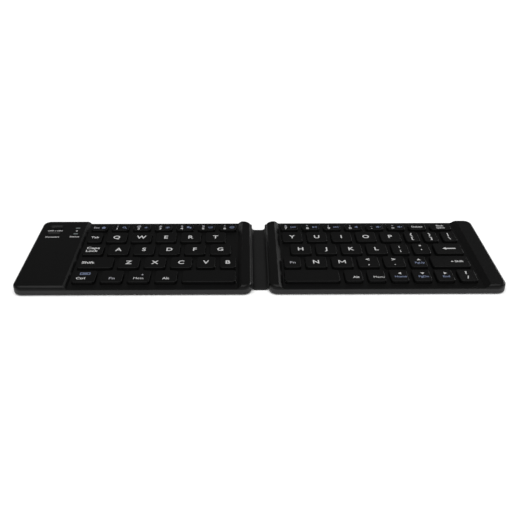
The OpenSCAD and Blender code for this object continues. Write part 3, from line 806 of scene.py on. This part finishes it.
def line(ax, ay, bx, by, width):
    """A straight stroke of the given width between two points."""
    along = np.array([bx - ax, by - ay])
    across = np.array([-along[1], along[0]]) / np.hypot(*along) * width / 2
    a, b = np.array([ax, ay]), np.array([bx, by])
    return polygon([a - across, b - across, b + across, a + across], 0, 0, 1)


UP = [(-1, -0.6), (1, -0.6), (0, 0.9)]
DOWN = [(-1, 0.6), (0, -0.9), (1, 0.6)]
TO_LEFT = [(0.6, -1), (0.6, 1), (-0.9, 0)]
TO_RIGHT = [(-0.6, -1), (0.9, 0), (-0.6, 1)]
DIAMOND = [(0, -1), (0.8, 0), (0, 1), (-0.8, 0)]


def bold_m(x, y, cap):
    """The letter M as four strokes, as bold as the font's other letters."""
    half, width = 0.5 * cap, 0.165 * cap
    strokes = []
    for side in (-1, 1):
        stem = x + side * half
        strokes.append(bar(stem - width / 2, y - half, stem + width / 2, y + half))
        strokes.append(line(stem, y + half - 0.3 * width, x, y - 0.2 * cap, width))
    return strokes


def speaker(x, y, s):
    """A loudspeaker: a block and a cone."""
    return [
        bar(x - s, y - 0.35 * s, x - 0.5 * s, y + 0.35 * s),
        polygon([(-0.5, -0.35), (0.1, -0.9), (0.1, 0.9), (-0.5, 0.35)], x, y, s),
    ]


def icon(kind, x, y, s):
    """The small function icons of the back row, each in a square of twice s."""
    t = 0.28 * s
    if kind == "home":
        return [
            polygon([(-1, 0), (1, 0), (0, 0.95)], x, y, s),
            bar(x - 0.65 * s, y - 0.9 * s, x + 0.65 * s, y),
        ]
    if kind == "find":
        return [
            ring(x - 0.2 * s, y + 0.2 * s, 0.7 * s, t),
            line(x + 0.3 * s, y - 0.3 * s, x + 0.95 * s, y - 0.95 * s, t),
        ]
    if kind in ("dim", "bright"):
        reach = 0.75 if kind == "dim" else 1.0
        angles = np.arange(8) * np.pi / 4
        rays = [
            line(
                x + 0.5 * s * math.cos(a),
                y + 0.5 * s * math.sin(a),
                x + reach * s * math.cos(a),
                y + reach * s * math.sin(a),
                0.16 * s,
            )
            for a in angles
        ]
        return [disc(x, y, 0.36 * s)] + rays
    if kind == "copy":
        return [
            bar(x - 0.9 * s, y - 0.4 * s, x + 0.1 * s, y + 0.9 * s),
            bar(x + 0.25 * s, y - 0.9 * s, x + 0.9 * s, y + 0.3 * s),
        ]
    if kind == "pad":
        dots = [
            bar(x + dx * s, y + dy * s, x + (dx + 0.3) * s, y + (dy + 0.3) * s)
            for dx in (-0.95, -0.4, 0.15, 0.65)
            for dy in (-0.2, 0.3)
        ]
        return dots + [bar(x - 0.7 * s, y - 0.7 * s, x + 0.7 * s, y - 0.45 * s)]
    if kind == "globe":
        return [
            ring(x, y, 0.95 * s, 0.2 * s),
            bar(x - 0.9 * s, y - 0.1 * s, x + 0.9 * s, y + 0.1 * s),
            bar(x - 0.1 * s, y - 0.9 * s, x + 0.1 * s, y + 0.9 * s),
        ]
    if kind == "back":
        return [
            bar(x - s, y - 0.8 * s, x - 0.75 * s, y + 0.8 * s),
            polygon(TO_LEFT, x - 0.15 * s, y, 0.55 * s),
            polygon(TO_LEFT, x + 0.65 * s, y, 0.55 * s),
        ]
    if kind == "play":
        return [
            polygon(TO_RIGHT, x - 0.4 * s, y, 0.75 * s),
            bar(x + 0.35 * s, y - 0.7 * s, x + 0.55 * s, y + 0.7 * s),
            bar(x + 0.75 * s, y - 0.7 * s, x + 0.95 * s, y + 0.7 * s),
        ]
    if kind == "next":
        return [
            polygon(TO_RIGHT, x - 0.65 * s, y, 0.55 * s),
            polygon(TO_RIGHT, x + 0.15 * s, y, 0.55 * s),
            bar(x + 0.75 * s, y - 0.8 * s, x + s, y + 0.8 * s),
        ]
    if kind == "quiet":
        return speaker(x, y, s)
    if kind == "less":
        return speaker(x, y, s) + [bar(x + 0.4 * s, y - t / 2, x + s, y + t / 2)]
    # The last one is more: a loudspeaker with a plus.
    return speaker(x, y, s) + [
        bar(x + 0.35 * s, y - t / 2, x + 1.05 * s, y + t / 2),
        bar(x + 0.7 * s - t / 2, y - 0.35 * s, x + 0.7 * s + t / 2, y + 0.35 * s),
    ]


# %% What is printed on a key
ICONS = {
    "Esc": "home",
    "1!": "find",
    "2@": "dim",
    "3#": "bright",
    "4$": "copy",
    "5%": "pad",
    "6^": "globe",
    "7&": "back",
    "8*": "play",
    "9(": "next",
    "0)": "quiet",
    "-_": "less",
    "=+": "more",
}
ARROWS = {"PgUp": UP, "PgDn": DOWN, "Home": TO_LEFT, "End": TO_RIGHT}


def key_print(name, spot):
    """The printed shapes of one key as (ink, (points, triangles)) pairs."""
    x0, x1, y0, y1, text = spot
    x, y = (x0 + x1) / 2, (y0 + y1) / 2
    if not text:
        return []
    if text in ICONS:
        made = [(BLUE, shape) for shape in icon(ICONS[text], x + 2.7, y - 0.1, 1.6)]
        if text == "Esc":
            return made + [(GREY, text_at("Esc", x - 1.8, y, 2.0))]
        return made + [
            (WHITE, text_at(text[0], x - 2.0, y - 1.6, 2.4)),
            (GREY, text_at(text[1], x - 2.0, y + 1.6, 1.9)),
        ]
    if text == "M":
        return [(WHITE, stroke) for stroke in bold_m(x, y, 3.75)]
    if len(text) == 1:
        return [(WHITE, text_at(text, x, y, 3.75, weight=0.018))]
    if len(text) == 2 and text != "Fn":
        return [
            (WHITE, text_at(text[0], x, y - 2.4, 2.9, weight=0.03)),
            (WHITE, text_at(text[1], x, y + 2.6, 2.9, weight=0.03)),
        ]
    if text == "Fn":
        down = 2.2 if name == "key_left_fn" else 0.6
        return [(GREY, text_at("Fn", x + 0.3, y - down, 2.3, stretch=1.15))]
    if text == "Caps/Lock":
        left = x0 + 1.9
        return [
            (WHITE, text_at("Caps", left, y + 1.9, 2.4, "left", stretch=1.15)),
            (WHITE, text_at("Lock", left, y - 1.7, 2.3, "left", stretch=1.1)),
        ]
    if text == "Back/space":
        return [
            (WHITE, text_at("Back", x, y + 1.4, 1.7)),
            (WHITE, text_at("space", x, y - 1.4, 1.7)),
        ]
    if text == "Delete":
        return [(WHITE, text_at("Delete", x, y, 1.8))]
    if text == "Shift":
        if name == "key_left_shift":
            return [(WHITE, text_at("Shift", x0 + 2.1, y, 2.4, "left", stretch=1.2))]
        return [
            (WHITE, text_at("Shift", x1 - 3.2, y, 2.0, "right")),
            (WHITE, polygon(UP, x1 - 10.0, y, 0.9)),
        ]
    if text == "Ctrl":
        return [
            (WHITE, text_at("Ctrl", x - 1.8, y - 2.1, 2.2)),
            (BLUE, bar(x - 3.0, y + 1.7, x + 3.0, y + 2.2)),
            (BLUE, bar(x - 3.0, y + 3.6, x + 3.0, y + 4.1)),
            (BLUE, bar(x - 3.0, y + 2.2, x - 2.5, y + 3.6)),
            (BLUE, bar(x + 2.5, y + 2.2, x + 3.0, y + 3.6)),
            (BLUE, bar(x - 1.6, y + 2.6, x + 1.6, y + 3.2)),
        ]
    if text == "Meta":
        return [
            (WHITE, text_at("Meta", x, y - 2.2, 2.1)),
            (GREY, polygon(DIAMOND, x + 1.9, y + 1.6, 0.8)),
        ]
    if text == "enter":
        return [
            (WHITE, bar(x - 1.6, y - 0.55, x + 4.7, y + 0.55)),
            (WHITE, polygon(TO_LEFT, x - 2.1, y, 1.5)),
        ]
    if text in ARROWS:
        return [
            (WHITE, polygon(ARROWS[text], x + 0.9, y + 2.2, 1.2)),
            (BLUE, text_at(text, x + 0.9, y - 1.4, 1.9)),
        ]
    if text == "Menu" or name == "key_right_alt":
        return [(WHITE, text_at(text, x + 1.4, y - 1.8, 2.0))]
    if text == "Alt":
        return [(WHITE, text_at("Alt", x, y - 2.4, 2.2))]
    return [(WHITE, text_at(text, x, y, 2.2))]


# %% Ink films on the keys
FILM = 0.02


def ink_film(points, triangles, lift):
    """A thin closed film over flat triangles: the same triangles twice, one above the other, and
    a wall along each edge that only one triangle has. lift gives the height of a point. Triangles
    without area are left out first, and so are points that nothing uses."""
    area = np.cross(
        points[triangles[:, 1]] - points[triangles[:, 0]],
        points[triangles[:, 2]] - points[triangles[:, 0]],
    )
    triangles = np.where((area < 0)[:, None], triangles[:, ::-1], triangles)
    used, triangles = np.unique(triangles[np.abs(area) > 1e-6], return_inverse=True)
    points, triangles = points[used], triangles.reshape(-1, 3)
    pairs = np.concatenate([triangles[:, [0, 1]], triangles[:, [1, 2]], triangles[:, [2, 0]]])
    known = {tuple(p) for p in pairs.tolist()}
    rims = np.array([p for p in pairs.tolist() if (p[1], p[0]) not in known])
    count = len(points)
    z = lift(points)
    top = np.column_stack([points, z + FILM])
    under = np.column_stack([points, z])
    walls = np.stack(
        [rims[:, 0] + count, rims[:, 1] + count, rims[:, 1], rims[:, 0]], -1
    )
    faces = triangles.tolist() + (triangles[:, ::-1] + count).tolist() + walls.tolist()
    return np.concatenate([top, under]), faces


def printed_object(name, groups):
    """One object of all films of a node. groups holds (ink, points in mm, faces)."""
    vertices, faces, inks, start = [], [], [], 0
    for colour, points, film_faces in groups:
        vertices.append(points)
        faces += [[i + start for i in face] for face in film_faces]
        inks += [colour] * len(film_faces)
        start += len(points)
    mesh = bpy.data.meshes.new(name)
    mesh.from_pydata((np.concatenate(vertices) * MM).tolist(), [], faces)
    made = place(name, mesh, *INKS)
    mesh.polygons.foreach_set("material_index", inks)
    mesh.validate()  # drops a face that two triangles of a letter would both draw
    return made


films = 0
for name in KEYS:
    groups = []
    for spot in key_spots(name):
        x0, x1, y0, y1, _ = spot
        centre = np.array([(x0 + x1) / 2, (y0 + y1) / 2])
        half = np.array([x1 - x0, y1 - y0]) / 2 - RIM

        def top_height(points, centre=centre, half=half):
            """The height of the dished top under each point."""
            share = (points - centre) / half
            return KEY_TOP - dish_drop(share[:, 0], share[:, 1]) + 0.006

        for colour, (points, triangles) in key_print(name, spot):
            groups.append((colour, *ink_film(points, triangles, top_height)))
    if groups:
        films += len(groups)
        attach(printed_object(name + "_print", groups), name)
print("ink films:", films)

# %% [markdown]
# The raised panel carries three small words and a lightning bolt, printed flat on it.

# %% Print on the panel
PANEL_TOP = 6.5
WORD_GAP, WORD_HEIGHT = 3.95, 1.5
WINDOW_HALF = 0.65


def middle_of(name):
    """The middle of a node's box in millimetres, seen from above."""
    low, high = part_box(name)
    return (low.x + high.x) / 2 / MM, (low.y + high.y) / 2 / MM


button_x, button_y = middle_of("connect_button")
slider_y = middle_of("power_slider")[1]
window_low, window_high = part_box("led_windows")
window_x = middle_of("led_windows")[0]
charge_y, status_y = window_high.y / MM - WINDOW_HALF, window_low.y / MM + WINDOW_HALF
BOLT = [(0.15, 1.0), (-0.55, -0.1), (-0.05, -0.1), (-0.2, -1.0), (0.55, 0.2), (0.05, 0.2)]
bolt_points = np.array(BOLT) * 1.25 + [window_x, charge_y - WORD_GAP]
bolt_triangles = np.array([[0, 1, 2], [0, 2, 5], [2, 3, 4], [2, 4, 5]])
panel_print = [
    (WHITE, text_at("OFF / ON", button_x, slider_y - 3.75, 1.4, stretch=1.1)),
    (WHITE, text_at("Connect", button_x, button_y - WORD_GAP, WORD_HEIGHT, stretch=1.15)),
    (WHITE, text_at("Status", window_x, status_y - WORD_GAP, WORD_HEIGHT, stretch=1.15)),
    (WHITE, (bolt_points, bolt_triangles)),
]
groups = [
    (colour, *ink_film(points, triangles, lambda p: np.full(len(p), PANEL_TOP + 0.004)))
    for colour, (points, triangles) in panel_print
]
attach(printed_object("panel_print", groups), "left_half")
print("panel print:", len(groups))

# %% [markdown]
# The hinge strip is one soft moulding between the two cases: a trough whose walls are tucked
# into the cases and whose floor hangs just above the table. When the keyboard folds, the floor
# turns up and becomes the spine. Here the strip is made in two mirrored halves that meet in the
# middle. Each is a section, a line with rounded corners that gets a thickness, and the section
# is carried from front to back.

# %% Hinge strip
STRIP_T = 0.8
STRIP_FRONT, STRIP_BACK = (corner.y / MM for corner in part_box("hinge_strip_middle"))


def rounded_path(corners, radii, spacing=0.12):
    """A line through the corners, each rounded by an arc of its radius, with points about one
    spacing apart. The arc starts and ends where the radius's tangents touch the two sides."""
    corners = [np.array(c, float) for c in corners]
    pieces = [corners[0][None]]
    for before, at, after, radius in zip(corners, corners[1:], corners[2:], radii):
        a, b = before - at, after - at
        a, b = a / np.linalg.norm(a), b / np.linalg.norm(b)
        half = math.acos(np.clip(a @ b, -1, 1)) / 2
        reach = radius / math.tan(half)
        start, end = at + a * reach, at + b * reach
        middle = at + (a + b) / np.linalg.norm(a + b) * radius / math.sin(half)
        u, v = start - middle, end - middle
        sweep = np.pi - 2 * half
        share = np.linspace(0, 1, max(4, int(sweep * radius / spacing) + 2))[:, None]
        arc = (np.sin((1 - share) * sweep) * u + np.sin(share * sweep) * v) / math.sin(sweep)
        pieces.append(middle + arc)
    pieces.append(corners[-1][None])
    line_points = np.concatenate(pieces)
    step = np.r_[0, np.cumsum(np.linalg.norm(np.diff(line_points, axis=0), axis=1))]
    even = np.linspace(0, step[-1], int(step[-1] / spacing) + 1)
    return np.stack([np.interp(even, step, line_points[:, i]) for i in (0, 1)], -1)


def strip_mesh(name, section, sign):
    """The section's centre line moved out by half the thickness on both sides, swept along Y. The
    last rings at each end are drawn in a little, which softens the cut edge."""
    tangent = np.gradient(section, axis=0)
    tangent /= np.linalg.norm(tangent, axis=1)[:, None]
    normal = np.stack([-tangent[:, 1], tangent[:, 0]], -1)
    middle, reach = (STRIP_FRONT + STRIP_BACK) / 2, (STRIP_BACK - STRIP_FRONT) / 2
    ends = np.array([[reach, 0.55], [reach - 0.06, 0.85], [reach - 0.2, 1.0]])
    run = np.linspace(reach - 0.2, -(reach - 0.2), 40)[1:-1]
    rings = np.concatenate(
        [ends, np.stack([run, np.ones_like(run)], -1), (ends * [-1, 1])[::-1]]
    ) + [middle, 0.0]
    loops = []
    for y, share in rings:
        upper = section + normal * STRIP_T / 2 * share
        lower = section - normal * STRIP_T / 2 * share
        loop = np.concatenate([upper, lower[::-1]])
        loops.append(
            np.column_stack([loop[:, 0] * sign, np.full(len(loop), y), loop[:, 1]])
        )
    points = np.array(loops)
    count, around = points.shape[:2]
    index = np.arange(count * around).reshape(count, around)
    after = np.roll(index, -1, 1)
    quads = np.stack([index[:-1], after[:-1], after[1:], index[1:]], -1)
    half = around // 2
    i = np.arange(half - 1)
    caps = []
    for ring_index, flip in ((index[0], False), (index[-1], True)):
        cap = np.stack(
            [
                ring_index[i],
                ring_index[around - 1 - i],
                ring_index[around - 2 - i],
                ring_index[i + 1],
            ],
            -1,
        )
        caps.append(cap[:, ::-1] if flip else cap)
    faces = np.concatenate([quads.reshape(-1, 4), *caps])
    if sign < 0:
        faces = faces[:, ::-1]
    mesh = bpy.data.meshes.new(name)
    mesh.from_pydata((points.reshape(-1, 3) * MM).tolist(), [], faces.tolist())
    smooth_by_angle(mesh, 40)
    return mesh


section = rounded_path(
    [(-6.9, 4.9), (-4.6, 4.9), (-4.6, 0.75), (0.0, 0.75)], [0.5, 2.2]
)
print("points across half of the strip:", len(section))
strip_left = place("hinge_strip_soft_left", strip_mesh("strip_left", section, 1), strip_rubber)
strip_right = place("hinge_strip_soft_right", strip_mesh("strip_right", section, -1), strip_rubber)
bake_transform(strip_left)
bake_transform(strip_right)
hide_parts("hinge_strip_left", "hinge_strip_middle")
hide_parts("hinge_strip_right")
